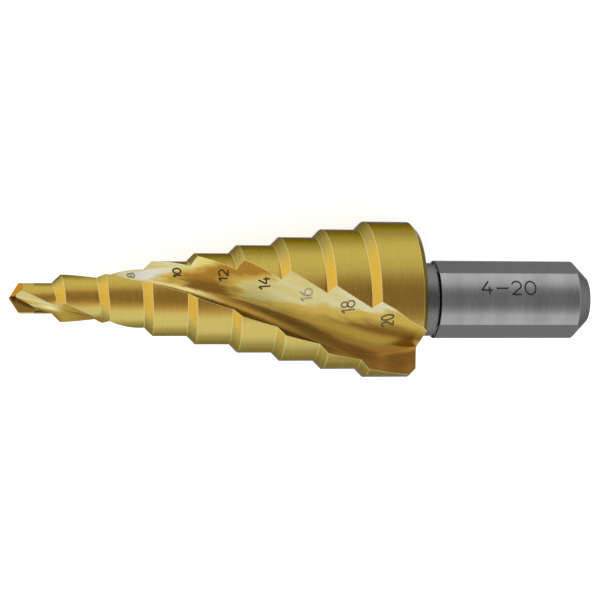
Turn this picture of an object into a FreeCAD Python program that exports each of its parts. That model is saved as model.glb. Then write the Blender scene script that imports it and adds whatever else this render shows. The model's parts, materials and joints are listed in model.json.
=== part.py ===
"""Step drill, 4 to 20 mm, with two spiral flutes and a three-flat shank.

The drill is turned and ground from one bar, so it is one solid. It is modelled
along its own axis, point first, and is then laid down as it rests on a table:
on the corners of its steps, with the point towards -X.

Along the axis, z runs from the point to the shank. Angles round the axis are
right-handed about z, so a cutting edge runs to larger angles towards the shank,
and the land that follows the edge lies at larger angles too.
"""

import FreeCAD, Part
import math
import os

# Steps
STEP_COUNT = 9
FIRST_DIAMETER = 4.0
STEP_RISE = 1.0
FIRST_STEP_LENGTH = 5.2
STEP_PITCH = 5.5
LAST_STEP_LENGTH = 6.6
REAR_CHAMFER = 0.9

# Point: two lips, each with two facets behind it and a gash in front of it
POINT_ANGLE_DEG = 118.0
LIP_DEG = -112.0
LIP_CLEARANCE_DEG = 12.0
HEEL_CLEARANCE_DEG = 42.0
LIP_FACET_WIDTH = 0.3
WEB_AT_POINT = 0.3
GASH_LEAN_DEG = 27.0
GASH_PAST_MIDDLE = 0.2

# Relief of the lands behind each cutting edge
LAND_RELIEF = 0.17
CHAMFER_RELIEF = 0.51
RELIEF_LEAD_DEG = 25.0

# Flutes. The long wall has one lean at the front of each step, and another at the rear
HELIX_ANGLE_DEG = 21.3
FIRST_EDGE_DEG = -135.0
RAKE_LEAN_DEG = 16.0
RAKE_DEPTH_AT_POINT = 1.1
RAKE_DEPTH_AT_LAST_STEP = 2.3
RAKE_DEPTH_AT_REAR = 3.55
WALL_LEANS_DEG = (33.0, 35.0, 34.0, 29.0, 27.0, 25.5, 23.0, 22.0, 22.0)
WALL_LEAN_AT_REAR_DEG = 7.0
FLUTE_CORNER_SHARE = 0.55
FLUTE_CORNER_SHARE_AT_REAR = 0.15
SECTION_TURN_DEG = 12.0
REAR_SECTION_TURN_DEG = 5.0

# Neck and shank
NECK_DIAMETER = 9.4
NECK_LENGTH = 2.5
SHOULDER_CHAMFER = 0.3
SHANK_DIAMETER = 10.0
SHANK_LENGTH = 20.5
END_CHAMFER = 2.0
FLAT_COUNT = 3
FLAT_DEPTH = 0.27
FIRST_FLAT_DEG = 60.0

# Pose on the table
FLUTE_MIDDLE_DEG = 30.0
SETTLING_ROUNDS = 6
HULL_TOLERANCE = 0.02
LEVEL_TOLERANCE = 1e-6

# Clearances of the cutting tools, and overlaps of the pieces that are joined
TOOL_CLEARANCE = 1.0
JOIN_OVERLAP = 0.5

# Where the two lands of a step meet, ahead of the edge: inside the flute along the whole step
FIRST_SEAM_LEAD_DEG = 5.0
SEAM_LEAD_DEG = 18.0

FIRST_RADIUS = FIRST_DIAMETER / 2
LAST_RADIUS = FIRST_RADIUS + STEP_RISE * (STEP_COUNT - 1)
POINT_HEIGHT = FIRST_RADIUS / math.tan(math.radians(POINT_ANGLE_DEG / 2))
LAST_CORNER = POINT_HEIGHT + FIRST_STEP_LENGTH + STEP_PITCH * (STEP_COUNT - 2)
BODY_END = LAST_CORNER + LAST_STEP_LENGTH
SHANK_START = BODY_END + NECK_LENGTH
OVERALL_LENGTH = SHANK_START + SHANK_LENGTH
CONE_SLOPE = STEP_RISE / STEP_PITCH
HELIX_RATE = math.tan(math.radians(HELIX_ANGLE_DEG))
REACH = 2 * OVERALL_LENGTH

AXIS = FreeCAD.Vector(0, 0, 1)
ORIGIN = FreeCAD.Vector(0, 0, 0)


def polar(radius, angle, height):
    """Point at an angle in radians round the drill's axis."""
    return FreeCAD.Vector(radius * math.cos(angle), radius * math.sin(angle), height)


def step_corner(index):
    """Height of the front corner of a step. The first step is shorter than the others."""
    if index == 0:
        return POINT_HEIGHT
    return LAST_CORNER - STEP_PITCH * (STEP_COUNT - 1 - index)


def envelope_radius(height):
    """Radius of the cone through the step corners, and of the last step behind it."""
    cone = LAST_RADIUS - CONE_SLOPE * (LAST_CORNER - height)
    return min(cone, LAST_RADIUS)


def edge_angle(height):
    """Angle of the first cutting edge, which crosses every circle at the helix angle."""
    cone_height = min(height, LAST_CORNER)
    growth = math.log(envelope_radius(cone_height) / FIRST_RADIUS)
    along_cylinder = max(height - LAST_CORNER, 0) / LAST_RADIUS
    turn = HELIX_RATE * (growth / CONE_SLOPE + along_cylinder)
    return math.radians(FIRST_EDGE_DEG) + turn


def edge_height(angle):
    """Height where the first cutting edge comes to an angle: edge_angle turned about."""
    past_corner = angle - edge_angle(LAST_CORNER)
    if past_corner > 0:
        return LAST_CORNER + LAST_RADIUS * past_corner / HELIX_RATE
    radius = LAST_RADIUS * math.exp(CONE_SLOPE * past_corner / HELIX_RATE)
    return LAST_CORNER - (LAST_RADIUS - radius) / CONE_SLOPE


def half_turned(shape):
    """Copy of a shape on the other side of the axis."""
    copy = shape.copy()
    copy.rotate(ORIGIN, AXIS, 180)
    return copy


def step_land(index):
    """One relieved land of one step: an offset cylinder under an offset chamfer cone.

    The axis of the cylinder is moved towards the cutting edge, so the land falls away
    behind the edge. The cone is moved further, so the chamfer falls away as well. The
    first step has the point in front of it and no cone.
    """
    radius = FIRST_RADIUS + STEP_RISE * index
    corner = step_corner(index)
    is_first = index == 0
    is_last = index == STEP_COUNT - 1
    start = -TOOL_CLEARANCE if is_first else corner - STEP_RISE - JOIN_OVERLAP
    end = BODY_END if is_last else corner + STEP_PITCH + JOIN_OVERLAP
    edge = edge_angle(corner)
    lead = math.radians(RELIEF_LEAD_DEG)
    land_radius = radius - LAND_RELIEF * math.cos(lead)
    centre = polar(LAND_RELIEF, edge - lead, start)
    land = Part.makeCylinder(land_radius, end - start, centre, AXIS)
    seam_lead = FIRST_SEAM_LEAD_DEG if is_first else SEAM_LEAD_DEG
    land = land.common(half_space(edge - math.radians(seam_lead), start, end))
    if is_first:
        return land
    small_end = radius - CHAMFER_RELIEF * math.cos(lead) - (corner - start)
    length = end - start
    centre = polar(CHAMFER_RELIEF, edge - lead, start)
    return land.common(Part.makeCone(small_end, small_end + length, length, centre, AXIS))


def half_space(angle, start, end):
    """Block on the side of the axis that lies at larger angles than the given one."""
    low = start - TOOL_CLEARANCE
    height = end - start + 2 * TOOL_CLEARANCE
    block = Part.makeBox(REACH, REACH / 2, height, FreeCAD.Vector(-REACH / 2, 0, low))
    block.rotate(ORIGIN, AXIS, math.degrees(angle))
    return block


def shank():
    """Neck and shank, turned, with a chamfered shoulder and end.

    They are free-form surfaces of the same shape, because the flats would cut the
    cones along hyperbolas, which not every reader of the file can measure.
    """
    core_start = LAST_CORNER
    neck = NECK_DIAMETER / 2
    radius = SHANK_DIAMETER / 2
    profile = [
        (0, core_start),
        (neck, core_start),
        (neck, SHANK_START),
        (radius - SHOULDER_CHAMFER, SHANK_START),
        (radius, SHANK_START + SHOULDER_CHAMFER),
        (radius, OVERALL_LENGTH - END_CHAMFER),
        (radius - END_CHAMFER, OVERALL_LENGTH),
        (0, OVERALL_LENGTH),
    ]
    points = [FreeCAD.Vector(r, 0, z) for r, z in profile]
    outline = Part.makePolygon(points + points[:1])
    return Part.Face(outline).revolve(ORIGIN, AXIS, 360).toNurbs()


def shank_flats():
    """Blocks that cut the flats for the three jaws of a chuck."""
    distance = SHANK_DIAMETER / 2 - FLAT_DEPTH
    blocks = []
    for index in range(FLAT_COUNT):
        corner = FreeCAD.Vector(distance, -SHANK_DIAMETER, SHANK_START)
        length = SHANK_LENGTH + TOOL_CLEARANCE
        block = Part.makeBox(SHANK_DIAMETER, 2 * SHANK_DIAMETER, length, corner)
        block.rotate(ORIGIN, AXIS, FIRST_FLAT_DEG + index * 360 / FLAT_COUNT)
        blocks.append(block)
    return blocks


def rear_chamfer():
    """Ring that cuts the chamfer at the rear of the largest step."""
    outer = LAST_RADIUS + TOOL_CLEARANCE
    inner = LAST_RADIUS - REAR_CHAMFER - TOOL_CLEARANCE
    front = BODY_END - REAR_CHAMFER - TOOL_CLEARANCE
    back = BODY_END + TOOL_CLEARANCE
    points = [FreeCAD.Vector(outer, 0, front), FreeCAD.Vector(outer, 0, back)]
    points.append(FreeCAD.Vector(inner, 0, back))
    outline = Part.makePolygon(points + points[:1])
    return Part.Face(outline).revolve(ORIGIN, AXIS, 360)


def blend(first, second, share):
    """Smooth change from one value to another as share runs from 0 to 1."""
    share = min(max(share, 0), 1)
    return first + (second - first) * share * share * (3 - 2 * share)


def rear_share(height):
    """Share of the largest step's length that lies in front of a height."""
    return (height - LAST_CORNER) / LAST_STEP_LENGTH


def rake_depth(height):
    """Length of the rake wall, which grows from the point to the rear."""
    share = (height - POINT_HEIGHT) / (LAST_CORNER - POINT_HEIGHT)
    along = RAKE_DEPTH_AT_POINT + (RAKE_DEPTH_AT_LAST_STEP - RAKE_DEPTH_AT_POINT) * share
    return blend(along, RAKE_DEPTH_AT_REAR, rear_share(height))


def wall_lean(height):
    """Lean of the flute's long wall away from square to the rake direction, in radians.

    It changes evenly from step to step, and smoothly along the largest one.
    """
    if height > LAST_CORNER:
        return math.radians(blend(WALL_LEANS_DEG[-1], WALL_LEAN_AT_REAR_DEG, rear_share(height)))
    place = max((height - step_corner(0)) / STEP_PITCH, 0)
    index = min(int(place), STEP_COUNT - 2)
    first, second = WALL_LEANS_DEG[index : index + 2]
    return math.radians(first + (second - first) * min(place - index, 1))


def on_circle(start, direction, radius):
    """Point where a ray from inside a circle round the axis meets it."""
    along = start[0] * direction[0] + start[1] * direction[1]
    inside = radius * radius - start[0] ** 2 - start[1] ** 2
    travel = -along + math.sqrt(along * along + inside)
    return (start[0] + travel * direction[0], start[1] + travel * direction[1])


def flute_section(height):
    """Closed outline of the first flute at one height.

    It is worked out with the cutting edge on the first axis. The rake wall runs in
    from the edge and leans under it, a round corner follows, and the long wall runs
    out to the heel of the land in front. The outline closes outside the drill.
    """
    radius = envelope_radius(height)
    depth = rake_depth(height)
    rake = math.radians(RAKE_LEAN_DEG)
    lean = wall_lean(height)
    rake_out = (math.cos(rake), math.sin(rake))
    wall_out = (-math.sin(lean), -math.cos(lean))
    corner = (radius - depth * rake_out[0], -depth * rake_out[1])
    share = blend(FLUTE_CORNER_SHARE, FLUTE_CORNER_SHARE_AT_REAR, rear_share(height))
    set_back = share * depth
    rake_foot = (corner[0] + set_back * rake_out[0], corner[1] + set_back * rake_out[1])
    wall_foot = (corner[0] + set_back * wall_out[0], corner[1] + set_back * wall_out[1])
    outside = 2 * radius + TOOL_CLEARANCE
    rake_end = on_circle(corner, rake_out, outside)
    wall_end = on_circle(corner, wall_out, outside)
    opening = math.pi / 2 + lean + rake
    corner_radius = set_back * math.tan(opening / 2)
    middle = (rake_out[0] + wall_out[0], rake_out[1] + wall_out[1])
    length = math.hypot(middle[0], middle[1])
    from_corner = corner_radius * (1 / math.sin(opening / 2) - 1)
    bottom = tuple(corner[k] + middle[k] / length * from_corner for k in (0, 1))
    far_angle = (math.atan2(rake_end[1], rake_end[0]) + math.atan2(wall_end[1], wall_end[0])) / 2
    far = (outside * math.cos(far_angle), outside * math.sin(far_angle))
    turn = edge_angle(height)
    flat = [rake_end, rake_foot, bottom, wall_foot, wall_end, far]
    points = [turned(x, y, turn, height) for x, y in flat]
    edges = [
        Part.LineSegment(points[0], points[1]).toShape(),
        Part.Arc(points[1], points[2], points[3]).toShape(),
        Part.LineSegment(points[3], points[4]).toShape(),
        Part.Arc(points[4], points[5], points[0]).toShape(),
    ]
    return Part.Wire(edges)


def turned(x, y, angle, height):
    """Point of a section, turned round the axis."""
    cosine = math.cos(angle)
    sine = math.sin(angle)
    return FreeCAD.Vector(x * cosine - y * sine, x * sine + y * cosine, height)


def section_heights(start, end, turn_deg):
    """Heights from start up to end, at equal turns of the flute's twist. The end is left out."""
    first = edge_angle(start)
    twist = edge_angle(end) - first
    count = math.ceil(twist / math.radians(turn_deg))
    return [edge_height(first + twist * index / count) for index in range(count)]


def flute():
    """Cutting tool for the first flute, lofted through sections of its twist.

    They lie closer together on the largest step, where the outline changes most.
    """
    end = BODY_END + TOOL_CLEARANCE
    heights = section_heights(-TOOL_CLEARANCE, LAST_CORNER, SECTION_TURN_DEG)
    heights += section_heights(LAST_CORNER, end, REAR_SECTION_TURN_DEG) + [end]
    wires = [flute_section(height) for height in heights]
    return Part.makeLoft(wires, True, False)


def point_tools():
    """Blocks that grind the point: two facets and a gash for each lip.

    They are worked out with the lip along the first axis. The facets fall away behind
    the lip. The gash lies in front of it: one side runs from the lip along the drill,
    and the other starts past the middle and leans out, so that it thins the web.
    """
    rise = 1 / math.tan(math.radians(POINT_ANGLE_DEG / 2))
    primary = math.tan(math.radians(LIP_CLEARANCE_DEG))
    secondary = math.tan(math.radians(HEEL_CLEARANCE_DEG))
    step = (primary - secondary) * LIP_FACET_WIDTH
    tools = []
    for fall, offset in ((primary, 0), (secondary, step)):
        normal = FreeCAD.Vector(-rise, -fall, 1)
        tool = Part.makeBox(REACH, REACH, REACH, FreeCAD.Vector(-REACH / 2, -REACH / 2, -REACH))
        turn_up = FreeCAD.Rotation(AXIS, normal)
        tool.Placement = FreeCAD.Placement(FreeCAD.Vector(0, 0, offset), turn_up) * tool.Placement
        tools.append(tool)
    gash = Part.makeBox(REACH, REACH, REACH, FreeCAD.Vector(0, -REACH, -REACH / 2))
    gash.rotate(ORIGIN, FreeCAD.Vector(0, 1, 0), GASH_LEAN_DEG)
    gash.translate(FreeCAD.Vector(-GASH_PAST_MIDDLE, -WEB_AT_POINT / 2, 0))
    tools.append(gash)
    for tool in tools:
        tool.rotate(ORIGIN, AXIS, LIP_DEG)
    return tools + [half_turned(tool) for tool in tools]


def step_drill():
    """The whole drill along its own axis, with the point at the origin."""
    lands = [step_land(index) for index in range(STEP_COUNT)]
    half = lands[0].fuse(lands[1:])
    body = half.fuse([half_turned(half), shank()])
    first_flute = flute()
    cuts = [first_flute, half_turned(first_flute), rear_chamfer()]
    return body.cut(cuts + point_tools() + shank_flats())


def surrounds_axis(corners):
    """True where three points, seen from above, go anticlockwise round the origin."""
    pairs = zip(corners, corners[1:] + corners[:1])
    return all(first.x * second.y >= first.y * second.x for first, second in pairs)


def upward_normal(points):
    """Unit normal of the facet of the convex hull that lies straight below the origin.

    A high triangle is lowered point by point: the point furthest below its plane
    takes the place of the one corner that leaves the origin inside.
    """
    corners = [FreeCAD.Vector(x, y, REACH) for x, y in ((-REACH, -REACH), (REACH, -REACH), (0, REACH))]
    while True:
        normal = (corners[1] - corners[0]).cross(corners[2] - corners[0]).normalize()
        lowest = min(points, key=normal.dot)
        if normal.dot(lowest - corners[0]) > -LEVEL_TOLERANCE:
            return normal
        swaps = [corners[:k] + [lowest] + corners[k + 1 :] for k in range(3)]
        corners = next(swap for swap in swaps if surrounds_axis(swap))


def resting_turn(drill):
    """Turn that takes the drill from its own axis to its rest on the table.

    It starts with a flute of the largest step facing down, then tips the drill onto
    the facet of its convex hull below the centre of mass until that facet stays.
    """
    upwards = edge_angle(LAST_CORNER) - math.radians(FLUTE_MIDDLE_DEG)
    roll = FreeCAD.Rotation(AXIS, -math.degrees(upwards))
    along, across, up = FreeCAD.Vector(1, 0, 0), FreeCAD.Vector(0, -1, 0), AXIS
    turn = FreeCAD.Rotation(up, across, along, "XYZ") * roll
    centre = drill.CenterOfMass
    points = [point - centre for point in drill.tessellate(HULL_TOLERANCE)[0]]
    for _ in range(SETTLING_ROUNDS):
        normal = upward_normal([turn.multVec(point) for point in points])
        turn = FreeCAD.Rotation(normal, up) * turn
    axis = turn.multVec(AXIS)
    return FreeCAD.Rotation(up, -math.degrees(math.atan2(axis.y, axis.x))) * turn


def laid_down(drill):
    """Lay the drill on its steps, with the lowest point on the table."""
    turn = resting_turn(drill)
    drill.Placement = FreeCAD.Placement(ORIGIN, turn) * drill.Placement
    box = drill.optimalBoundingBox(False)
    middle = FreeCAD.Vector((box.XMin + box.XMax) / 2, (box.YMin + box.YMax) / 2, box.ZMin)
    drill.translate(-middle)
    return drill


def main():
    os.makedirs("parts", exist_ok=True)
    laid_down(step_drill().Solids[0]).exportStep("parts/step_drill.step")


main()
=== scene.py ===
"""Step drill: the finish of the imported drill, its size numbers and a plain studio.

Lengths in this file are millimetres along the drill's own axes unless a name says
otherwise: the point is the origin, the third axis runs to the shank, and the first
axis is the side of the drill that faces the camera. A height is measured along the
third axis. Colours are linear values.
"""

import json
import math

import bpy
import numpy as np
from mathutils import Matrix


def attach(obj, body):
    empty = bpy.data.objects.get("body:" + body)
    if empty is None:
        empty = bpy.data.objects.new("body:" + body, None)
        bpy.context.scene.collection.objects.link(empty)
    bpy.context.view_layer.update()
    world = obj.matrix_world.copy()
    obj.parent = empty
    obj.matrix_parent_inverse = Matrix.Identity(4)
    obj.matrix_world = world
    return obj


bl_info = {
    "name": "Step Drill",
    "version": (1, 0, 0),
    "blender": (4, 5, 0),
    "location": "3D View > Sidebar > Step Drill",
    "description": "Finishes the step drill, marks its sizes and sets up its studio",
    "category": "Object",
}

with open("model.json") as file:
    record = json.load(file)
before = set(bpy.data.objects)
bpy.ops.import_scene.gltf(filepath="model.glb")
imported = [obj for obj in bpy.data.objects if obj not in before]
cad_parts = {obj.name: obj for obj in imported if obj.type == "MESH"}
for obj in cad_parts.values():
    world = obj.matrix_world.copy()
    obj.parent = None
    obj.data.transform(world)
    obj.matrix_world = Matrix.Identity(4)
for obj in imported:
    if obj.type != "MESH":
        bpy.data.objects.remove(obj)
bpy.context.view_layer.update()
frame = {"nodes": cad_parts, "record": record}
DRILL = frame["nodes"]["step_drill"]
MILLIMETRE = 0.001

# Sizes of the drill that the marks and the finish follow. The first cutting edge starts at an angle
# on the first radius, and the cone through the steps is never taken thinner than the least radius.
FIRST_RADIUS = 2.0
STEP_RISE = 1.0
FIRST_PITCH = 5.2
STEP_PITCH = 5.5
LAST_STEP = 8
LAST_LENGTH = 6.6
NECK_LENGTH = 2.5
SHANK_LENGTH = 18.5
POINT_HALF_ANGLE = math.radians(59.0)
HELIX_ANGLE = math.radians(21.3)
EDGE_START = math.radians(-135.0)
POINT_HEIGHT = FIRST_RADIUS / math.tan(POINT_HALF_ANGLE)
LAST_CORNER = POINT_HEIGHT + FIRST_PITCH + STEP_PITCH * (LAST_STEP - 1)
BODY_END = LAST_CORNER + LAST_LENGTH
SHANK_START = BODY_END + NECK_LENGTH
END_CHAMFER_START = SHANK_START + SHANK_LENGTH
LEAST_RADIUS = 0.3
CONE_SLOPE = STEP_RISE / STEP_PITCH
LAST_RADIUS = FIRST_RADIUS + STEP_RISE * LAST_STEP
HELIX_RATE = math.tan(HELIX_ANGLE)

# Writing: text, its middle along the drill and above the axis, its height, width and turn in
# degrees, and how dark it is
FLUTE_MARKS = (
    ("8", 15.20, 2.90, 0.78, 0.60, 0.0, 0.35),
    ("10", 20.80, 3.20, 0.95, 1.12, -2.0, 1.0),
    ("12", 26.40, 2.86, 1.10, 1.42, -2.0, 1.0),
    ("14", 31.36, 1.90, 1.40, 1.50, 4.0, 1.0),
    ("16", 36.46, 0.40, 1.40, 1.52, 6.0, 0.15),
    ("18", 41.55, -1.09, 1.55, 1.50, 7.0, 0.70),
    ("20", 46.53, -2.77, 1.42, 1.40, 11.0, 0.90),
)
SHANK_MARK = ("4-20", 63.07, 1.42, 1.67, 7.12, 0.0, 1.0)
FLUTE_READING_DEG = 90.0
SHANK_READING_DEG = 0.0

# Marks: the gap between two signs as a share of their height, how far in front of the largest step
# they are drawn before they are cast onto the drill, how thick and how proud they lie, and the
# values of their material
DIGIT_GAP = 0.24
MARK_START = 2.0
MARK_THICKNESS = 0.02
MARK_LIFT = 0.012
MOTTLE_SCALE = 3.0
MOTTLE_LIGHTER = 1.6
MARK_ROUGHNESS = (0.45, 0.6)
MARK_METALLIC = 0.3
MARK_SPECULAR = 0.1

# Masks of the drill's surfaces: the value at which each starts, and at which it is full
LAND_FACING = (0.93, 0.97)
LAND_PROUD = (-1.25, -1.15)
CHAMFER_LEAN = (-0.52, -0.60)
REAR_CHAMFER_LEAN = (0.35, 0.50)
UPPER_LEAN = (0.1, -0.5)
FLAT_TURN = (-0.90, -0.96)
POINT_PART = (3.2, 3.0)
STEEL_PART = (BODY_END - 0.02, BODY_END + 0.03)
NECK_PART = (SHANK_START + 0.1, SHANK_START)
END_PART = (END_CHAMFER_START, END_CHAMFER_START + 0.1)

# Half turns into which the angles of places and of normals from the cutting edge are wrapped
PLACE_RANGE_DEG = (-150.0, 30.0)
NORMAL_RANGE_DEG = (-120.0, 60.0)

# Values of a noise at which a pattern starts and is full
NOISE_RANGE = (0.3, 0.7)

# Lands: how far aslant the coat pales and the coat of the chamfers cools, both painted reflections, and
# where both get a painted shade, with the depth of that shade on the lower and on the upper side
PALE_SLANT = (0.01, 0.14)
COOL_SLANT = (0.20, 0.50)
SHADED_SLANT = (0.26, 0.50, 0.60, 0.85)
LOWER_SHADE = 0.38
UPPER_SHADE = 0.26

# Colours along the flute, painted reflections and shade on one gold coat: a height, and the
# colour there
WALL_FRONT = (
    (4.0, "gold_wall"),
    (6.5, "gold_deep"),
    (11.0, "gold_deep"),
    (14.0, "gold_bright"),
    (16.0, "gold_white"),
)
RAKE_WALL = (
    (2.6, "gold_dark"),
    (4.0, "gold_olive"),
    (6.5, "gold_deep"),
    (10.0, "gold_rear"),
    (13.0, "gold_rear"),
    (15.0, "gold_bright"),
    (19.0, "gold_rake"),
    (22.0, "gold_rake"),
    (26.5, "gold_brown"),
    (37.0, "gold_brown"),
    (42.0, "gold_red"),
)

# Colours across the flute, painted reflections and shade on one gold coat: degrees from the cutting
# edge, negative in the flute, and the colour there
GASH = (
    (-62.0, "gold_wall"),
    (-57.0, "gold_white"),
    (-50.0, "gold_wall"),
    (-38.0, "gold_bright"),
    (-28.0, "gold_bright"),
    (-18.0, "gold_deep"),
    (-8.0, "gold_gash"),
)
# Painted reflections and shade in streaks along the rear of the long wall
REAR_STREAKS = (
    (-52.0, "gold_olive"),
    (-42.0, "gold_rear"),
    (-35.0, "gold_shadow"),
    (-31.0, "gold_shadow"),
    (-24.0, "gold_streak"),
    (-18.0, "gold_streak"),
    (-13.0, "gold_rear"),
)

# Parts of the flute, each from where it starts to where it is full, and back to where it ends
# The white streak and the light heel on the long wall are painted reflections
WHITE_STREAK = (12.0, 17.0, 17.0, 22.5)
LIGHT_HEEL = (22.0, 24.0, 27.0, 30.0)
FLUTE_MIDDLE = (23.0, 28.0, 37.0, 42.0)
FLUTE_REAR = (41.0, 44.0, 49.0, 52.0)
# The foot line and the rear corner are painted shade
FOOT_LINE_DEG = (-49.0, -40.0, -31.0, -26.0)
REAR_CORNER_DEG = (-56.0, -46.0, -36.0, -31.0)
REAR_CORNER_SHADE = 0.6

# Borders in the flute: the value at which each starts, and at which it is full
# The white streak and the white patches are painted reflections
WHITE_STREAK_DEG = (-62.0, -53.0)
WHITE_PATCHES = (0.40, 0.62)
FRONT_BORDER = (15.0, 18.0)
GASH_BORDER = (7.0, 5.0)
VERY_POINT = (0.95, 0.75)
RAKE_BORDER_DEG = (-31.0, -40.0)
# The brink of the rake wall is painted shade
RAKE_BRINK_DEG = (-52.0, -68.0)
RAKE_BRINK_SHADE = 0.7

# How far the patches and a slow ripple of the coat move its borders along the long wall
PATCH_WAVER = 1.0
RIPPLE_WAVER = 1.2
RIPPLE_SCALE = 0.7
RIPPLE_STRETCH = 0.35

# Warm band across the long wall, a painted reflection whose core darkens to painted shade: the height
# of its middle, its slant below an angle, the borders of its rim and its core by their distance from
# the middle, and the angles where the core deepens
BAND_HEIGHT = 24.6
BAND_SLANT = 0.3
BAND_SLANT_DEG = -43.0
BAND_RIM = (6.4, 4.0)
BAND_CORE = (4.8, 1.5)
BAND_DEEP_DEG = (-46.0, -28.0)

# Brown rear of the long wall, painted reflections in streaks: its height at one angle, its slant, and
# its borders
REAR_HEIGHT = 41.0
REAR_DEG = -37.0
REAR_SLANT = 0.47
REAR_RIM = (-5.0, -2.0)
REAR_FULL = (-1.0, 4.5)

# Ground surfaces: fineness of their lines, scale along the lines, scale of the radius on the rounds,
# and what the lines do to the colour, the roughness and the relief
FLUTE_FINENESS = 5.0
FLUTE_STRETCH = 0.05
TURNED_FINENESS = 9.0
TURNED_STRETCH = 0.05
TURNED_SPREAD = 0.6
LINE_RANGE = (0.2, 0.8)
LINE_SHADE = (0.91, 1.06)
LINE_DULLNESS = (-0.05, 0.07)
LINE_DEPTH = 0.004
LINE_STRENGTH = 0.5

# Worn edges, with a painted highlight: their rounding, the cosines at which wear starts and is full,
# the heights over which it grows from the point, and its share from there on
EDGE_ROUNDING = 0.1
EDGE_COSINE = (0.998, 0.96)
EDGE_GROWTH = (1.5, 5.0)
EDGE_WEAR_AND_GLINT = 0.75

# Painted shadow: a dark line where the shank meets its neck
SHANK_SHADOW = (SHANK_START - 0.15, SHANK_START - 0.02, SHANK_START + 0.25, SHANK_START + 0.40)

# Sky: how far its dark patch is turned down from the side that faces the camera, how much of it is
# turned towards the shank, and the cosines from its middle at which it starts and is full
DARK_PATCH_DEG = -1.0
DARK_PATCH_ALONG = 0.5
DARK_PATCH_COSINE = (0.63, 0.97)

# Camera: the place that it looks at, its turns besides the one towards the point, the width of its
# film, and the nearest and farthest distance that it sees, in metres
CAMERA_AIM = (0, 0.116, 36.895)
CAMERA_TILT_DEG = -0.870
CAMERA_ROLL_DEG = -0.011
CAMERA_FILM = 36
CAMERA_NEAR = 0.01
CAMERA_FAR = 10

# Floor: how many cells a side it is made of, and its roughness
FLOOR_CELLS = 8
FLOOR_ROUGHNESS = 0.9


def drill_axes():
    """Origin and axes of the drill in the frame, from the flats on its shank.

    The drill's long axis is square to two flats. The third flat faces away from the
    camera. The middles of the three flats lie evenly round the long axis.
    """
    flats = frame["record"]["mounts"]
    normals = np.array([flat["axis"] for flat in flats])
    middle = np.mean([flat["pos_m"] for flat in flats], axis=0)
    along = np.cross(normals[0], normals[1])
    along /= np.linalg.norm(along)
    along *= np.sign(along[0])
    facing = -normals[2]
    down = np.cross(along, facing)
    mesh = DRILL.data
    points = np.empty(len(mesh.vertices) * 3)
    mesh.vertices.foreach_get("co", points)
    tip = (points.reshape(-1, 3) @ along).min()
    origin = middle + along * (tip - middle @ along)
    return origin, np.array([facing, down, along])


ORIGIN, AXES = drill_axes()


def placed(points):
    """Points in millimetres along the drill's axes, as metres in the frame."""
    return ORIGIN + np.asarray(points) * MILLIMETRE @ AXES


def mesh_object(name, points, faces):
    """New object from an array of points in metres and a list of faces."""
    mesh = bpy.data.meshes.new(name)
    mesh.from_pydata(points.tolist(), [], faces)
    mesh.validate()
    thing = bpy.data.objects.new(name, mesh)
    bpy.context.scene.collection.objects.link(thing)
    return thing


# Writing


def arc(centre, radii, start, end, count=17):
    """Points on an ellipse between two angles in degrees: centre plus radii times cosine and sine."""
    angle = np.radians(np.linspace(start, end, count))
    return np.asarray(centre) + np.stack([np.cos(angle), np.sin(angle)], 1) * radii


def line(start, end, count=7):
    """Evenly spaced points on a straight line."""
    share = np.linspace(0, 1, count)[:, None]
    return np.asarray(start) * (1 - share) + np.asarray(end) * share


def digit_strokes():
    """Width and strokes of each sign, one unit tall, drawn with single lines like an engraving."""
    nought = [arc((0.35, 0.5), (0.35, 0.5), 90, 450, 33)]
    one = [line((0.0, 0.74), (0.28, 1.0)), line((0.28, 1.0), (0.28, 0.0))]
    two = [
        arc((0.31, 0.69), (0.31, 0.31), 165, -42),
        line((0.54, 0.49), (0.02, 0.0)),
        line((0.0, 0.0), (0.64, 0.0)),
    ]
    four = [
        line((0.46, 1.0), (0.0, 0.33)),
        line((0.0, 0.33), (0.74, 0.33)),
        line((0.52, 0.58), (0.52, 0.0)),
    ]
    six = [
        arc((0.33, 0.32), (0.33, 0.32), 0, 360, 33),
        arc((0.80, 0.34), (0.80, 0.70), 112, 180),
    ]
    eight = [
        arc((0.31, 0.76), (0.24, 0.24), 0, 360, 29),
        arc((0.31, 0.27), (0.31, 0.27), 0, 360, 33),
    ]
    dash = [line((0.0, 0.47), (0.78, 0.47))]
    return {
        "0": (0.70, nought),
        "1": (0.28, one),
        "2": (0.64, two),
        "4": (0.74, four),
        "6": (0.66, six),
        "8": (0.62, eight),
        "-": (0.78, dash),
    }


def written(text, height, width):
    """Strokes of a text centred on zero, with its letters spread to the asked width."""
    signs = digit_strokes()
    strokes = []
    start = 0.0
    for sign in text:
        advance, paths = signs[sign]
        strokes += [path + (start, 0.0) for path in paths]
        start += advance + DIGIT_GAP
    length = start - DIGIT_GAP
    return [(path - (length / 2, 0.5)) * (width / length, height) for path in strokes]


def ribbons(strokes, width):
    """Flat ribbons: each path moved half the width to both sides, square to its tangent."""
    points = []
    faces = []
    start = 0
    for path in strokes:
        tangent = np.gradient(path, axis=0)
        tangent /= np.linalg.norm(tangent, axis=1)[:, None]
        side = np.stack([-tangent[:, 1], tangent[:, 0]], 1) * width / 2
        points += [path - side, path + side]
        count = len(path)
        low = start + np.arange(count - 1)
        faces.append(np.stack([low, low + 1, low + 1 + count, low + count], 1))
        start += 2 * count
    return np.concatenate(points), np.concatenate(faces).tolist()


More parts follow.
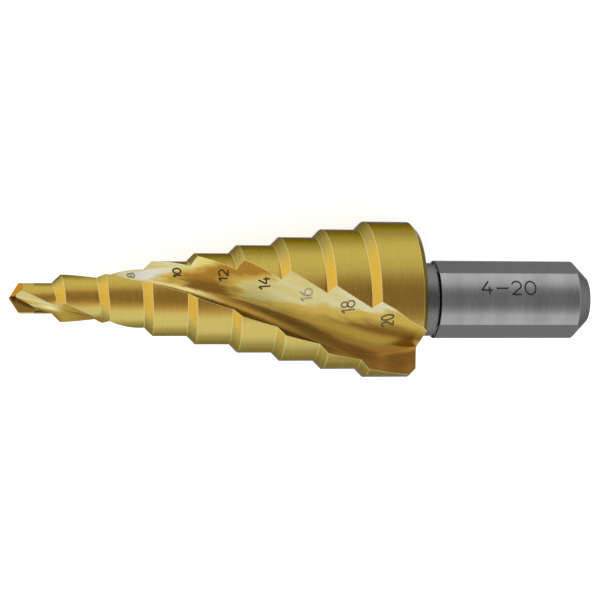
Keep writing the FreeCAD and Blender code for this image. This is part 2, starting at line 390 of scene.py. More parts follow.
def drawn_in_front(name, mark, reading_deg, stroke):
    """Ribbons of a mark on a plane in front of the drill, on the side that faces the camera."""
    text, along_drill, above, height, width, turn, _ = mark
    flat, faces = ribbons(written(text, height, width), stroke)
    angle = math.radians(reading_deg + turn)
    turned = flat @ np.array([(math.cos(angle), math.sin(angle)), (-math.sin(angle), math.cos(angle))])
    front = np.full(len(turned), LAST_RADIUS + MARK_START)
    plane = np.column_stack([turned + (along_drill, above), front])
    thing = mesh_object(name, plane * MILLIMETRE, faces)
    facing, down, along = AXES
    drawn_from = np.eye(4)
    drawn_from[:3] = np.column_stack([along, -down, facing, ORIGIN])
    thing.matrix_world = Matrix(drawn_from.tolist())
    return thing


def cast_onto_drill(thing):
    """Move a flat mark square to its plane until it lies just above the drill's surface."""
    cast = thing.modifiers.new("cast", "SHRINKWRAP")
    cast.target = DRILL
    cast.wrap_method = "PROJECT"
    cast.wrap_mode = "ABOVE_SURFACE"
    cast.use_project_z = True
    cast.use_positive_direction = False
    cast.use_negative_direction = True
    cast.offset = MARK_LIFT * MILLIMETRE
    bpy.context.view_layer.update()
    seen = thing.evaluated_get(bpy.context.evaluated_depsgraph_get())
    mesh = bpy.data.meshes.new_from_object(seen)
    mesh.transform(thing.matrix_world)
    thing.modifiers.clear()
    thing.matrix_world = Matrix.Identity(4)
    thing.data = mesh


def burnt_in(name, mark, reading_deg, stroke, faint, dark):
    """Writing that lies on the drill, with a thickness that reaches into its surface."""
    thing = drawn_in_front(name, mark, reading_deg, stroke)
    cast_onto_drill(thing)
    thick = thing.modifiers.new("thickness", "SOLIDIFY")
    thick.thickness = MARK_THICKNESS * MILLIMETRE
    thick.offset = -1
    text, burn = mark[0], mark[-1]
    faint = np.array(faint)
    thing.data.materials.append(etched("Mark " + text, faint + (np.array(dark) - faint) * burn))
    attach(thing, "root")


# Shader building


class Nodes:
    """Short way to add nodes to a tree and to link them."""

    def __init__(self, tree):
        self.tree = tree
        tree.nodes.clear()

    def fill(self, node, values):
        """Link each socket that is given another node's socket, and set the rest."""
        for socket, value in values.items():
            if isinstance(value, bpy.types.NodeSocket):
                self.tree.links.new(value, node.inputs[socket])
            else:
                node.inputs[socket].default_value = value
        return node

    def add(self, kind, values=None, **settings):
        node = self.tree.nodes.new(kind)
        for name, value in settings.items():
            setattr(node, name, value)
        return self.fill(node, values or {})

    def maths(self, operation, first, second=0.0, third=0.0):
        values = {0: first, 1: second, 2: third}
        return self.add("ShaderNodeMath", values, operation=operation).outputs[0]

    def vector_maths(self, operation, first, second=None, output=0):
        values = {0: first} if second is None else {0: first, 1: second}
        return self.add("ShaderNodeVectorMath", values, operation=operation).outputs[output]

    def ramp(self, value, low, high, to_low=0.0, to_high=1.0):
        """Smooth step from one level at the low value to another at the high one."""
        values = {"Value": value, "From Min": low, "From Max": high, "To Min": to_low, "To Max": to_high}
        return self.add("ShaderNodeMapRange", values, interpolation_type="SMOOTHSTEP").outputs[0]

    def window(self, value, start, full, fading, end):
        """Smooth steps up from zero to one, and back down to zero."""
        return self.maths("MULTIPLY", self.ramp(value, start, full), self.ramp(value, end, fading))

    def mix(self, share, first, second, blend="MIX"):
        node = self.add("ShaderNodeMix", data_type="RGBA", blend_type=blend)
        return self.fill(node, {0: share, 6: first, 7: second}).outputs[2]

    def tint(self, share, base, colour):
        """A colour of the settings, laid over a base by a share."""
        return self.mix(share, base, (*colour, 1))

    def run(self, value, stops, settings):
        """Colour that runs through pairs of a value and the name of a colour in the settings."""
        low, first = stops[0]
        high, last = stops[-1]
        values = {"Value": value, "From Min": low, "From Max": high}
        share = self.add("ShaderNodeMapRange", values).outputs[0]
        node = self.add("ShaderNodeValToRGB", {0: share})
        elements = node.color_ramp.elements
        elements[0].color = (*getattr(settings, first), 1)
        elements[1].color = (*getattr(settings, last), 1)
        for place, name in stops[1:-1]:
            element = elements.new((place - low) / (high - low))
            element.color = (*getattr(settings, name), 1)
        return node.outputs[0]

    def noise(self, place, scale, detail=3.0, roughness=0.55):
        values = {"Vector": place, "Scale": scale, "Detail": detail, "Roughness": roughness}
        return self.add("ShaderNodeTexNoise", values).outputs["Fac"]

    def squeezed(self, place, scale):
        """Place with each direction scaled, to draw a pattern out along one of them."""
        return self.add("ShaderNodeMapping", {"Vector": place, "Scale": scale}).outputs[0]

    def grey(self, value):
        return self.add("ShaderNodeCombineColor", {0: value, 1: value, 2: value}).outputs[0]


def new_material(name):
    material = bpy.data.materials.new(name)
    material.use_nodes = True
    return material, Nodes(material.node_tree)


def group_tree(name, inputs, outputs):
    """Empty node group with named sockets."""
    tree = bpy.data.node_groups.new(name, "ShaderNodeTree")
    for label, kind, default in inputs:
        socket = tree.interface.new_socket(label, in_out="INPUT", socket_type=kind)
        if default is not None:
            socket.default_value = default
    for label, kind in outputs:
        tree.interface.new_socket(label, in_out="OUTPUT", socket_type=kind)
    return tree


def grinding_group():
    """Fine parallel scratches: noise squeezed across the lines and drawn out along them."""
    name = "Grinding lines"
    if name in bpy.data.node_groups:
        return bpy.data.node_groups[name]
    tree = group_tree(
        name,
        [
            ("Place", "NodeSocketVector", None),
            ("Fineness", "NodeSocketFloat", 9.0),
            ("Patchiness", "NodeSocketFloat", 0.35),
        ],
        [("Lines", "NodeSocketFloat"), ("Patches", "NodeSocketFloat")],
    )
    nodes = Nodes(tree)
    entry = nodes.add("NodeGroupInput").outputs
    lines = nodes.noise(entry["Place"], entry["Fineness"], detail=4.0, roughness=0.6)
    patches = nodes.noise(entry["Place"], entry["Patchiness"], detail=2.0, roughness=0.5)
    nodes.add("NodeGroupOutput", {"Lines": lines, "Patches": patches})
    return tree


def drill_place(nodes):
    """Place on the drill in millimetres along its own axes, from object coordinates."""
    shift = -(AXES @ ORIGIN) / MILLIMETRE
    values = {
        "Vector": nodes.add("ShaderNodeTexCoord").outputs["Object"],
        "Location": shift.tolist(),
        "Rotation": Matrix(AXES.tolist()).to_euler("XYZ"),
        "Scale": (1 / MILLIMETRE,) * 3,
    }
    return nodes.add("ShaderNodeMapping", values, vector_type="POINT").outputs[0]


def drill_normal(nodes):
    """Normal of the surface along the drill's own axes."""
    values = {
        "Vector": nodes.add("ShaderNodeTexCoord").outputs["Normal"],
        "Rotation": Matrix(AXES.tolist()).to_euler("XYZ"),
    }
    return nodes.add("ShaderNodeMapping", values, vector_type="VECTOR").outputs[0]


# Finish of the drill


def cone_and_twist(nodes, height):
    """Radius of the cone through the steps' corners, and the cutting edge's angle, at a height.

    The edge crosses each circle of the cone at the helix angle, so its angle grows with
    the logarithm of the radius, and evenly behind the last corner.
    """
    cone = nodes.maths("MULTIPLY_ADD", height, CONE_SLOPE, LAST_RADIUS - CONE_SLOPE * LAST_CORNER)
    cone = nodes.maths("MINIMUM", nodes.maths("MAXIMUM", cone, LEAST_RADIUS), LAST_RADIUS)
    growth = nodes.maths("LOGARITHM", nodes.maths("DIVIDE", cone, FIRST_RADIUS), math.e)
    behind = nodes.maths("MAXIMUM", nodes.maths("SUBTRACT", height, LAST_CORNER), 0.0)
    twist = nodes.maths("MULTIPLY", growth, HELIX_RATE / CONE_SLOPE)
    twist = nodes.maths("MULTIPLY_ADD", behind, HELIX_RATE / LAST_RADIUS, twist)
    return cone, nodes.maths("ADD", twist, EDGE_START)


def unwound(nodes, vector, edge):
    """A vector turned back by the angle of the cutting edge."""
    values = {"Vector": vector, "Angle": nodes.maths("MULTIPLY", edge, -1.0)}
    return nodes.add("ShaderNodeVectorRotate", values, rotation_type="Z_AXIS").outputs[0]


def degrees_round(nodes, vector, low, high):
    """Angle of a vector round the drill in degrees, wrapped by half turns into low to high.

    The second flute is the first one turned by half a turn, so the two share their angles.
    """
    parts = nodes.add("ShaderNodeSeparateXYZ", {0: vector}).outputs
    angle = nodes.maths("ARCTAN2", parts[1], parts[0])
    return nodes.maths("DEGREES", nodes.maths("WRAP", angle, math.radians(high), math.radians(low)))


def surface_parts(nodes, place, normal):
    """Masks of the drill's surfaces, from the place and the normal in the drill's axes.

    The cosine between the normal and the outward direction tells the lands from the
    flutes. The place's angle from the cutting edge runs across the flute. The normal's
    angle from it, also in degrees, runs from the long wall to the rake wall.
    """
    place_parts = nodes.add("ShaderNodeSeparateXYZ", {0: place}).outputs
    normal_parts = nodes.add("ShaderNodeSeparateXYZ", {0: normal}).outputs
    height = place_parts[2]
    across = nodes.add("ShaderNodeCombineXYZ", {0: place_parts[0], 1: place_parts[1]}).outputs[0]
    radius = nodes.vector_maths("LENGTH", across, output="Value")
    radial = nodes.vector_maths("NORMALIZE", across)
    outward = nodes.vector_maths("DOT_PRODUCT", radial, normal, "Value")
    cone, edge = cone_and_twist(nodes, height)
    straightened = unwound(nodes, place, edge)
    proud = nodes.maths("SUBTRACT", radius, cone)
    land = nodes.maths("MULTIPLY", nodes.ramp(outward, *LAND_FACING), nodes.ramp(proud, *LAND_PROUD))
    # The flats of the shank face three ways, where the cosine of three times the angle is -1
    around = nodes.maths("ARCTAN2", normal_parts[1], normal_parts[0])
    three_fold = nodes.maths("COSINE", nodes.maths("MULTIPLY", around, 3.0))
    return {
        "height": height,
        "across": across,
        "radius": radius,
        "straightened": straightened,
        "from_edge": degrees_round(nodes, straightened, *PLACE_RANGE_DEG),
        "wall_turn": degrees_round(nodes, unwound(nodes, normal, edge), *NORMAL_RANGE_DEG),
        "land": land,
        "chamfer": nodes.ramp(normal_parts[2], *CHAMFER_LEAN),
        "rear_chamfer": nodes.ramp(normal_parts[2], *REAR_CHAMFER_LEAN),
        "point": nodes.ramp(height, *POINT_PART),
        "upper": nodes.ramp(normal_parts[1], *UPPER_LEAN),
        "flat": nodes.ramp(three_fold, *FLAT_TURN),
        "steel": nodes.ramp(height, *STEEL_PART),
    }


def land_gold(nodes, coat, parts):
    """Coat of the lands and of the chamfers, with painted reflections and shade: warm where it is seen
    square on, and yellow aslant.
    """
    slant = nodes.add("ShaderNodeLayerWeight", {"Blend": 0.5}).outputs["Facing"]
    # Painted reflection: the lands paler aslant, and a different gold on the lands that face up
    pale = nodes.tint(parts["upper"], (*coat.gold_pale, 1), coat.gold_upper)
    gold = nodes.mix(nodes.ramp(slant, *PALE_SLANT), (*coat.gold, 1), pale)
    # Painted reflection: the chamfers and the flanks of the point warmer than the lands
    warm = nodes.tint(nodes.ramp(slant, *COOL_SLANT), (*coat.gold_warm, 1), coat.gold_pale)
    warm = nodes.tint(parts["point"], warm, coat.gold_point)
    # Painted shade: darker over a band of slants, more on the lower lands, none at the point
    shaded = nodes.window(slant, *SHADED_SLANT)
    shaded = nodes.maths("MULTIPLY", shaded, nodes.maths("SUBTRACT", 1.0, parts["point"]))
    depth = nodes.ramp(parts["upper"], 0.0, 1.0, LOWER_SHADE, UPPER_SHADE)
    shade = nodes.grey(nodes.maths("SUBTRACT", 1.0, nodes.maths("MULTIPLY", shaded, depth)))
    return nodes.mix(1.0, gold, shade, "MULTIPLY"), nodes.mix(1.0, warm, shade, "MULTIPLY")


def wavering_place(nodes, parts, patches):
    """Height moved to and fro by the patches and by a slow ripple, so that borders aren't straight."""
    stretched = nodes.squeezed(parts["straightened"], (1.0, 1.0, RIPPLE_STRETCH))
    ripple = nodes.noise(stretched, RIPPLE_SCALE, detail=2.0)
    moves = (
        nodes.ramp(patches, *NOISE_RANGE, -PATCH_WAVER, PATCH_WAVER),
        nodes.ramp(ripple, *NOISE_RANGE, -RIPPLE_WAVER, RIPPLE_WAVER),
    )
    return nodes.maths("ADD", parts["height"], nodes.maths("ADD", *moves))


def wall_gold(nodes, coat, parts, patches):
    """Coat of the long wall, painted reflections and shade: pale, with a warm band across it and a brown
    rear end.
    """
    height = parts["height"]
    from_edge = parts["from_edge"]
    place = wavering_place(nodes, parts, patches)
    # Painted reflection: white patches on the long wall
    wall = nodes.tint(nodes.ramp(patches, *WHITE_PATCHES), (*coat.gold_white, 1), coat.gold_wall)
    # Painted reflections along the front of the long wall
    front = nodes.run(height, WALL_FRONT, coat)
    wall = nodes.mix(nodes.ramp(height, *FRONT_BORDER), front, wall)
    # Painted reflections: a white streak near the front, and a light heel before the band
    streak = nodes.window(height, *WHITE_STREAK)
    streak = nodes.maths("MULTIPLY", streak, nodes.ramp(from_edge, *WHITE_STREAK_DEG))
    wall = nodes.tint(streak, wall, coat.silver)
    wall = nodes.tint(nodes.window(height, *LIGHT_HEEL), wall, coat.gold_light)

    # Painted reflection: a warm band across the long wall with an olive rim, its core turning to painted
    # shade towards the cutting edge
    slant = nodes.maths("MINIMUM", nodes.maths("SUBTRACT", from_edge, BAND_SLANT_DEG), 0.0)
    middle = nodes.maths("MULTIPLY_ADD", slant, BAND_SLANT, -BAND_HEIGHT)
    band = nodes.maths("ABSOLUTE", nodes.maths("ADD", place, middle))
    wall = nodes.tint(nodes.ramp(band, *BAND_RIM), wall, coat.gold_olive)
    core = nodes.tint(nodes.ramp(from_edge, *BAND_DEEP_DEG), (*coat.gold_band, 1), coat.gold_shadow)
    wall = nodes.mix(nodes.ramp(band, *BAND_CORE), wall, core)

    # Painted reflections: brown streaks along the rear of the long wall, behind an olive rim
    border = nodes.maths("MULTIPLY_ADD", from_edge, REAR_SLANT, -REAR_DEG * REAR_SLANT - REAR_HEIGHT)
    rear = nodes.maths("ADD", place, border)
    wall = nodes.tint(nodes.ramp(rear, *REAR_RIM), wall, coat.gold_olive)
    streaks = nodes.run(from_edge, REAR_STREAKS, coat)
    return nodes.mix(nodes.ramp(rear, *REAR_FULL), wall, streaks)


def rake_gold(nodes, coat, parts, wall):
    """Coat of the wall in front of the cutting edge with painted reflections, and the dark line of
    painted shade along the foot of the flute.
    """
    height = parts["height"]
    turn = parts["wall_turn"]
    # Painted reflections and shade along the rake wall
    rake = nodes.run(height, RAKE_WALL, coat)
    # Painted shade: the brink of the rake wall, a dark line along the foot of the flute, and its rear
    # corner
    middle = nodes.window(height, *FLUTE_MIDDLE)
    brink = nodes.ramp(turn, *RAKE_BRINK_DEG, 0.0, RAKE_BRINK_SHADE)
    rake = nodes.tint(nodes.maths("MULTIPLY", middle, brink), rake, coat.gold_dark)
    colour = nodes.mix(nodes.ramp(turn, *RAKE_BORDER_DEG), wall, rake)
    foot = nodes.maths("MULTIPLY", nodes.window(turn, *FOOT_LINE_DEG), middle)
    colour = nodes.tint(foot, colour, coat.gold_foot)
    corner = nodes.maths("MULTIPLY", nodes.window(turn, *REAR_CORNER_DEG), REAR_CORNER_SHADE)
    corner = nodes.maths("MULTIPLY", corner, nodes.window(height, *FLUTE_REAR))
    return nodes.tint(corner, colour, coat.gold_shadow)


def gash_gold(nodes, coat, parts):
    """Coat behind the point, painted reflections and shade: white and bright facets above, and the brown
    gash below.
    """
    facets = nodes.run(parts["from_edge"], GASH, coat)
    return nodes.tint(nodes.ramp(parts["height"], *VERY_POINT), facets, coat.gold_gash)


def gold_coat(nodes, coat, parts, patches):
    """Colour of the coat on the lands, the chamfers and the walls of the flutes, with painted reflections
    and shade.
    """
    gold, warm = land_gold(nodes, coat, parts)
    walls = rake_gold(nodes, coat, parts, wall_gold(nodes, coat, parts, patches))
    gash = gash_gold(nodes, coat, parts)
    walls = nodes.mix(nodes.ramp(parts["height"], *GASH_BORDER), walls, gash)
    colour = nodes.mix(parts["land"], walls, gold)
    colour = nodes.mix(parts["chamfer"], colour, warm)
    # Painted shade: the chamfer at the body's rear end is darker
    return nodes.tint(parts["rear_chamfer"], colour, coat.gold_shade)


def bare_steel(nodes, coat, parts, patches):
    """Colour of the shank: paler on its round bands, and darker with painted shade on its flats, neck and
    end and in a line at the neck.
    """
    height = parts["height"]
    steel = nodes.tint(nodes.ramp(patches, *NOISE_RANGE), (*coat.steel, 1), coat.steel_pale)
    # Painted shade: the flats, the neck and the end darker than the round bands
    dark = nodes.maths("MAXIMUM", parts["flat"], nodes.ramp(height, *NECK_PART))
    dark = nodes.maths("MAXIMUM", dark, nodes.ramp(height, *END_PART))
    steel = nodes.tint(dark, steel, coat.steel_dark)
    # Painted shadow: a dark line where the shank meets its neck
    return nodes.tint(nodes.window(height, *SHANK_SHADOW), steel, coat.steel_shadow)


def ground(nodes, place, fineness):
    """Outputs of the grinding lines on a place."""
    values = {"Place": place, "Fineness": fineness}
    return nodes.add("ShaderNodeGroup", values, node_tree=grinding_group()).outputs


def ground_lines(nodes, parts, round_share):
    """Lines and patches of the grinding: along the flutes, and round the round surfaces."""
    along_flute = nodes.squeezed(parts["straightened"], (1.0, 1.0, FLUTE_STRETCH))
    spread = nodes.maths("MULTIPLY", parts["radius"], TURNED_SPREAD)
    ring = nodes.add("ShaderNodeCombineXYZ", {0: spread, 2: parts["height"]}).outputs[0]
    around = nodes.squeezed(parts["across"], (TURNED_STRETCH,) * 3)
    turned = nodes.vector_maths("ADD", ring, around)
    flute = ground(nodes, along_flute, FLUTE_FINENESS)
    rounds = ground(nodes, turned, TURNED_FINENESS)
    return [nodes.mix(round_share, flute[name], rounds[name]) for name in ("Lines", "Patches")]


def worn_edge_and_glint(nodes, parts, rounded):
    """Share of wear and painted highlight on the edges: where the rounded normal leaves the flat one, and
    none at the point.
    """
    face = nodes.add("ShaderNodeNewGeometry").outputs["Normal"]
    cosine = nodes.vector_maths("DOT_PRODUCT", rounded, face, "Value")
    growth = nodes.ramp(parts["height"], *EDGE_GROWTH, 0.0, EDGE_WEAR_AND_GLINT)
    return nodes.maths("MULTIPLY", nodes.ramp(cosine, *EDGE_COSINE), growth)


def tool_steel(coat):
    """Gold coat on the stepped body and bare ground steel behind it, with painted reflections, highlights
    and shade.
    """
    material, nodes = new_material("Coated tool steel")
    parts = surface_parts(nodes, drill_place(nodes), drill_normal(nodes))
    round_share = nodes.maths("MAXIMUM", parts["land"], parts["chamfer"])
    round_share = nodes.maths("MAXIMUM", round_share, parts["steel"])
    lines, patches = ground_lines(nodes, parts, round_share)

    gold = gold_coat(nodes, coat, parts, patches)
    steel = bare_steel(nodes, coat, parts, patches)
    colour = nodes.mix(parts["steel"], gold, steel)
    shade = nodes.ramp(lines, *LINE_RANGE, *LINE_SHADE)
    colour = nodes.mix(1.0, colour, nodes.grey(shade), "MULTIPLY")

    values = {"Radius": EDGE_ROUNDING * MILLIMETRE}
    rounded = nodes.add("ShaderNodeBevel", values, samples=6).outputs[0]
    # Pale gold and pale steel on the edges: wear and a painted highlight
    worn_and_glint = nodes.tint(parts["steel"], (*coat.gold_edge, 1), coat.steel_pale)
    colour = nodes.mix(worn_edge_and_glint(nodes, parts, rounded), colour, worn_and_glint)

    dullness = [coat.roughness + change for change in LINE_DULLNESS]
    roughness = nodes.ramp(lines, *LINE_RANGE, *dullness)
    depth = LINE_DEPTH * MILLIMETRE
    values = {"Height": lines, "Normal": rounded, "Distance": depth, "Strength": LINE_STRENGTH}
    bump = nodes.add("ShaderNodeBump", values).outputs[0]
    rim = nodes.tint(round_share, (*coat.wall_rim, 1), coat.round_rim)
    rim = nodes.tint(parts["point"], rim, coat.wall_rim)
    rim = nodes.tint(parts["steel"], rim, coat.steel_rim)
    values = {"Base Color": colour, "Metallic": 1.0, "Roughness": roughness, "Normal": bump}
    values["Specular Tint"] = rim
    shader = nodes.add("ShaderNodeBsdfPrincipled", values)
    nodes.add("ShaderNodeOutputMaterial", {"Surface": shader.outputs[0]})
    return material


def etched(name, colour):
    """Dark laser marking: dull, with a faint mottle."""
    material, nodes = new_material(name)
    mottle = nodes.noise(drill_place(nodes), MOTTLE_SCALE)
    light = [min(MOTTLE_LIGHTER * value, 1.0) for value in colour]
    tint = nodes.tint(nodes.ramp(mottle, *NOISE_RANGE), (*colour, 1), light)
    roughness = nodes.ramp(mottle, *NOISE_RANGE, *MARK_ROUGHNESS)
    values = {"Base Color": tint, "Metallic": MARK_METALLIC, "Roughness": roughness}
    values["Specular IOR Level"] = MARK_SPECULAR
    shader = nodes.add("ShaderNodeBsdfPrincipled", values)
    nodes.add("ShaderNodeOutputMaterial", {"Surface": shader.outputs[0]})
    return material


# Studio


def pale_floor(colour, glow):
    """Plain pale floor. It glows to the camera and in reflections, so that it looks white."""
    material, nodes = new_material("Pale floor")
    path = nodes.add("ShaderNodeLightPath").outputs
    seen = nodes.maths("MAXIMUM", path["Is Camera Ray"], path["Is Glossy Ray"])
    seen = nodes.maths("MAXIMUM", seen, path["Is Transmission Ray"])
    values = {"Base Color": (*colour, 1), "Roughness": FLOOR_ROUGHNESS}
    values["Emission Color"] = (1, 1, 1, 1)
    values["Emission Strength"] = nodes.maths("MULTIPLY", seen, glow)
    shader = nodes.add("ShaderNodeBsdfPrincipled", values)
    nodes.add("ShaderNodeOutputMaterial", {"Surface": shader.outputs[0]})
    return material


def make_floor(settings):
    """Square floor of two metres a side at the height of the drill's lowest point."""
    row = FLOOR_CELLS + 1
    side = np.linspace(-1, 1, row)
    across, along = np.meshgrid(side, side)
    points = np.stack([across.ravel(), along.ravel(), np.zeros(across.size)], 1)
    cells = np.arange(FLOOR_CELLS)
    first = (cells[:, None] * row + cells).ravel()
    faces = np.stack([first, first + 1, first + row + 1, first + row], 1).tolist()
    floor = mesh_object("floor", points, faces)
    floor.data.materials.append(pale_floor(settings.floor_colour, settings.floor_glow))


def make_world(settings):
    """Pale sky all round, with a soft dark patch beside the camera, as in a light tent."""
    world = bpy.data.worlds.new("Studio")
    bpy.context.scene.world = world
    world.use_nodes = True
    nodes = Nodes(world.node_tree)
    facing, down, along = AXES
    turn = math.radians(DARK_PATCH_DEG)
    patch = facing * math.cos(turn) + down * math.sin(turn) + along * DARK_PATCH_ALONG
    patch /= np.linalg.norm(patch)
    seen = nodes.add("ShaderNodeTexCoord").outputs["Generated"]
    near = nodes.vector_maths("DOT_PRODUCT", seen, patch.tolist(), "Value")
    level = nodes.ramp(near, *DARK_PATCH_COSINE, settings.sky, settings.sky_dark)
    back = nodes.add("ShaderNodeBackground", {"Color": nodes.grey(level), "Strength": 1.0})
    nodes.add("ShaderNodeOutputWorld", {"Surface": back.outputs[0]})


def turned_pair(first, second, angle):
    """Two square directions, turned from the first towards the second."""
    along = first * math.cos(angle) + second * math.sin(angle)
    return along, second * math.cos(angle) - first * math.sin(angle)


def make_camera(settings):
    """Camera of the photograph: beside the drill, a little towards its point."""
    facing, down, along = AXES
    right, back = turned_pair(along, facing, settings.camera_side)
    back, up = turned_pair(back, -down, math.radians(CAMERA_TILT_DEG))
    right, up = turned_pair(right, up, math.radians(CAMERA_ROLL_DEG))
    camera = bpy.data.objects.new("camera", bpy.data.cameras.new("camera"))
    bpy.context.scene.collection.objects.link(camera)
    turn = np.eye(4)
    turn[:3] = np.column_stack([right, up, back, placed(CAMERA_AIM) + back * settings.camera_distance])
    camera.matrix_world = Matrix(turn.tolist())
    camera.data.sensor_width = CAMERA_FILM
    camera.data.lens = settings.camera_lens
    camera.data.clip_start = CAMERA_NEAR
    camera.data.clip_end = CAMERA_FAR
    bpy.context.scene.camera = camera
    bpy.context.scene.view_settings.view_transform = "Standard"


# Settings


def colour_setting(name, default, description):
    """Colour property, in linear values."""
    return bpy.props.FloatVectorProperty(
        name=name, description=description, subtype="COLOR", size=3, min=0, max=1, default=default
    )


def stroke_setting(name, description):
    """Width of the lines of a mark."""
    return bpy.props.FloatProperty(
        name=name,
        description=description,
        unit="LENGTH",
        min=0.05 * MILLIMETRE,
        max=0.5 * MILLIMETRE,
        default=0.20 * MILLIMETRE,
    )


class DrillFinish(bpy.types.PropertyGroup):
    """Colours of the gold coat and of the bare steel, most of them painted reflections, highlights and
    shade
    """

    gold: colour_setting("Gold", (0.50, 0.28, 0.05), "Coat of the lands, seen square on")
    # Painted reflections on the lands: pale gold aslant, upper gold facing up, warm gold on chamfers,
    # point gold on flanks
    gold_pale: colour_setting("Pale gold", (0.51, 0.41, 0.115), "Coat of the lands, seen aslant")
    gold_upper: colour_setting("Upper gold", (0.42, 0.318, 0.062), "Coat of the lands that face up")
    gold_warm: colour_setting("Warm gold", (0.58, 0.36, 0.05), "Coat of the chamfers between the steps")
    gold_point: colour_setting("Point gold", (0.45, 0.215, 0.018), "Coat of the flanks of the point")
    # Wall gold down to Shaded gold: painted reflections, highlights and shade on one gold coat, in the
    # flutes, at the point and on the rear chamfer
    gold_wall: colour_setting("Wall gold", (0.54, 0.46, 0.17), "Coat of the flute's long wall")
    # White gold is a painted reflection in patches on the long wall
    gold_white: colour_setting("White gold", (0.58, 0.55, 0.35), "Painted reflection in patches on the long wall")
    gold_light: colour_setting("Light gold", (0.63, 0.53, 0.17), "Heel of the long wall before the band")
    gold_bright: colour_setting("Bright gold", (0.72, 0.66, 0.34), "Gleaming front of the flute")
    silver: colour_setting("Silver gold", (0.61, 0.61, 0.53), "White streak on the long wall")
    gold_olive: colour_setting("Olive gold", (0.49, 0.345, 0.07), "Rims of the band and of the rear")
    gold_band: colour_setting("Band gold", (0.33, 0.165, 0.022), "Warm band across the long wall")
    gold_rear: colour_setting("Rear gold", (0.24, 0.148, 0.026), "Rear end of the long wall")
    gold_rake: colour_setting("Rake gold", (0.68, 0.58, 0.23), "Front part of the rake wall")
    gold_brown: colour_setting("Brown gold", (0.35, 0.195, 0.033), "Middle part of the rake wall")
    gold_red: colour_setting("Red gold", (0.39, 0.185, 0.034), "Rear part of the rake wall")
    gold_deep: colour_setting("Deep gold", (0.37, 0.26, 0.05), "Flute behind the point")
    gold_streak: colour_setting("Streak gold", (0.335, 0.215, 0.038), "Light streak at the flute's rear")
    gold_gash: colour_setting("Gash gold", (0.20, 0.11, 0.020), "Gash of the point")
    # Shadow gold is painted shade in the band's core, the rear streaks and the rear corner
    gold_shadow: colour_setting("Shadow gold", (0.17, 0.085, 0.014), "Depth of the band, dark streaks")
    # Foot gold and dark gold are painted shade in the flute
    gold_foot: colour_setting("Foot gold", (0.27, 0.15, 0.027), "Line along the foot of the flute")
    gold_dark: colour_setting("Dark gold", (0.15, 0.085, 0.018), "Brink of the rake wall")
    # Shaded gold is painted shade on the rear chamfer
    gold_shade: colour_setting("Shaded gold", (0.11, 0.08, 0.012), "Chamfer at the body's rear end")
    # Worn gold is wear and a painted highlight on the edges
    gold_edge: colour_setting("Worn and glinting gold", (0.78, 0.67, 0.36), "Coat on the edges of the steps")
    steel: colour_setting("Steel", (0.27, 0.27, 0.27), "Bare steel of the shank")
    steel_pale: colour_setting("Pale steel", (0.33, 0.33, 0.33), "Lighter patches of the shank")
    # Dark steel is painted shade on the flats, neck and end
    steel_dark: colour_setting("Dark steel", (0.15, 0.15, 0.152), "Flats, neck and end of the shank")
    # Steel shadow is a painted shadow line
    steel_shadow: colour_setting("Steel shadow", (0.03, 0.03, 0.032), "Line between shank and neck")
    round_rim: colour_setting("Rim of rounds", (0.18, 0.18, 0.28), "Round surfaces where they turn away")
    wall_rim: colour_setting("Rim of walls", (0.65, 0.6, 0.5), "Flute where it turns away")
    steel_rim: colour_setting("Rim of steel", (0.35, 0.35, 0.35), "Shank where it turns away")
    roughness: bpy.props.FloatProperty(
        name="Roughness",
        description="Dullness of the ground surfaces",
        subtype="FACTOR",
        min=0.1,
        max=0.9,
        default=0.24,
    )


class MarkSettings(bpy.types.PropertyGroup):
    """Colours and strokes of the size numbers"""

    dark: colour_setting("Dark mark", (0.045, 0.028, 0.012), "Colour of the burnt size numbers")
    faint: colour_setting("Faint mark", (0.32, 0.29, 0.19), "Numbers that are hardly burnt")
    grey: colour_setting("Shank mark", (0.02, 0.02, 0.02), "Colour of the writing on the shank")
    stroke: stroke_setting("Stroke", "Width of the lines in the flute")
    shank_stroke: stroke_setting("Shank stroke", "Width of the lines on the shank")


class StudioSettings(bpy.types.PropertyGroup):
    """Camera, floor and sky"""

    camera_distance: bpy.props.FloatProperty(
        name="Camera distance",
        description="From the drill's middle to the camera",
        unit="LENGTH",
        min=100 * MILLIMETRE,
        default=295.1 * MILLIMETRE,
    )
    camera_side: bpy.props.FloatProperty(
        name="Camera side",
        description="Turn of the view towards the drill's point",
        subtype="ANGLE",
        default=math.radians(10.588),
    )
    camera_lens: bpy.props.FloatProperty(
        name="Lens", description="Focal length", unit="CAMERA", min=20, default=139.017
    )
    floor_colour: colour_setting("Floor", (0.6, 0.6, 0.6), "Colour of the floor")
    floor_glow: bpy.props.FloatProperty(
        name="Floor glow",
        description="Light that the floor adds to what the camera sees",
        subtype="FACTOR",
        min=0,
        max=1,
        default=0.72,
    )
    sky: bpy.props.FloatProperty(name="Sky", description="Brightness round the drill", min=0, default=1.2)
    sky_dark: bpy.props.FloatProperty(
        name="Dark patch", description="Brightness beside the camera", min=0, default=0.36
    )


# Steps


class DRILL_OT_finish(bpy.types.Operator):
    """Give the drill its gold coat and its bare steel shank, with painted reflections and shade"""

    bl_idname = "drill.finish"
    bl_label = "Finish the Drill"

    def execute(self, context):
        DRILL.material_slots[0].material = tool_steel(context.scene.drill_finish)
        return {"FINISHED"}


class DRILL_OT_flute_marks(bpy.types.Operator):
    """Burn the size of each step into the long wall of the flute"""

    bl_idname = "drill.flute_marks"
    bl_label = "Mark the Flute"

    def execute(self, context):
        settings = context.scene.drill_marks
        stroke = settings.stroke / MILLIMETRE
        for mark in FLUTE_MARKS:
            name = "size_mark_" + mark[0]
            burnt_in(name, mark, FLUTE_READING_DEG, stroke, settings.faint, settings.dark)
        return {"FINISHED"}


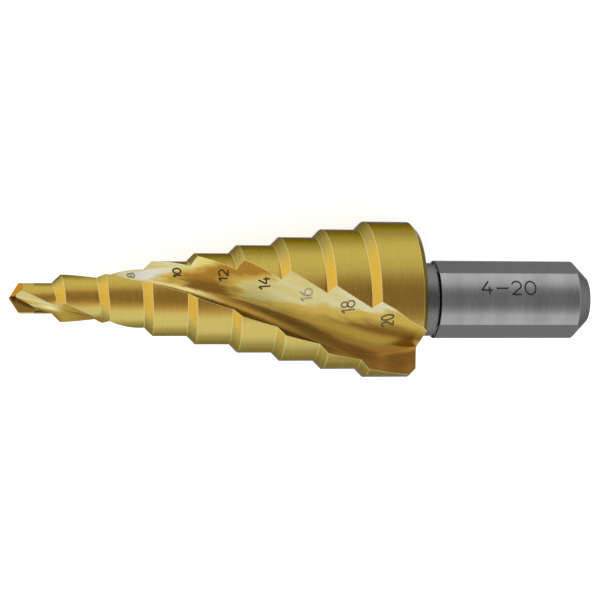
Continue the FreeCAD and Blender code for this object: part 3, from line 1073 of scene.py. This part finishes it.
class DRILL_OT_shank_mark(bpy.types.Operator):
    """Burn the range of sizes into the shank"""

    bl_idname = "drill.shank_mark"
    bl_label = "Mark the Shank"

    def execute(self, context):
        settings = context.scene.drill_marks
        stroke = settings.shank_stroke / MILLIMETRE
        burnt_in("size_range_mark", SHANK_MARK, SHANK_READING_DEG, stroke, settings.grey, settings.grey)
        return {"FINISHED"}


class DRILL_OT_studio(bpy.types.Operator):
    """Make the floor, the pale sky and the camera"""

    bl_idname = "drill.studio"
    bl_label = "Set Up the Studio"

    def execute(self, context):
        settings = context.scene.drill_studio
        make_floor(settings)
        make_world(settings)
        make_camera(settings)
        return {"FINISHED"}


class DRILL_PT_panel(bpy.types.Panel):
    """Settings and steps of the drill"""

    bl_idname = "DRILL_PT_panel"
    bl_label = "Step Drill"
    bl_space_type = "VIEW_3D"
    bl_region_type = "UI"
    bl_category = "Step Drill"

    def draw(self, context):
        layout = self.layout
        scene = context.scene
        for group in (scene.drill_finish, scene.drill_marks, scene.drill_studio):
            for name in type(group).__annotations__:
                layout.prop(group, name)
        for step in STEPS:
            layout.operator(step.bl_idname)


STEPS = (DRILL_OT_finish, DRILL_OT_flute_marks, DRILL_OT_shank_mark, DRILL_OT_studio)
CLASSES = (DrillFinish, MarkSettings, StudioSettings, *STEPS, DRILL_PT_panel)


def register():
    for kind in CLASSES:
        bpy.utils.register_class(kind)
    bpy.types.Scene.drill_finish = bpy.props.PointerProperty(type=DrillFinish)
    bpy.types.Scene.drill_marks = bpy.props.PointerProperty(type=MarkSettings)
    bpy.types.Scene.drill_studio = bpy.props.PointerProperty(type=StudioSettings)


def unregister():
    del bpy.types.Scene.drill_studio
    del bpy.types.Scene.drill_marks
    del bpy.types.Scene.drill_finish
    for kind in reversed(CLASSES):
        bpy.utils.unregister_class(kind)


def main():
    register()
    bpy.ops.drill.finish()
    bpy.ops.drill.flute_marks()
    bpy.ops.drill.shank_mark()
    bpy.ops.drill.studio()


if __name__ == "__main__":
    main()
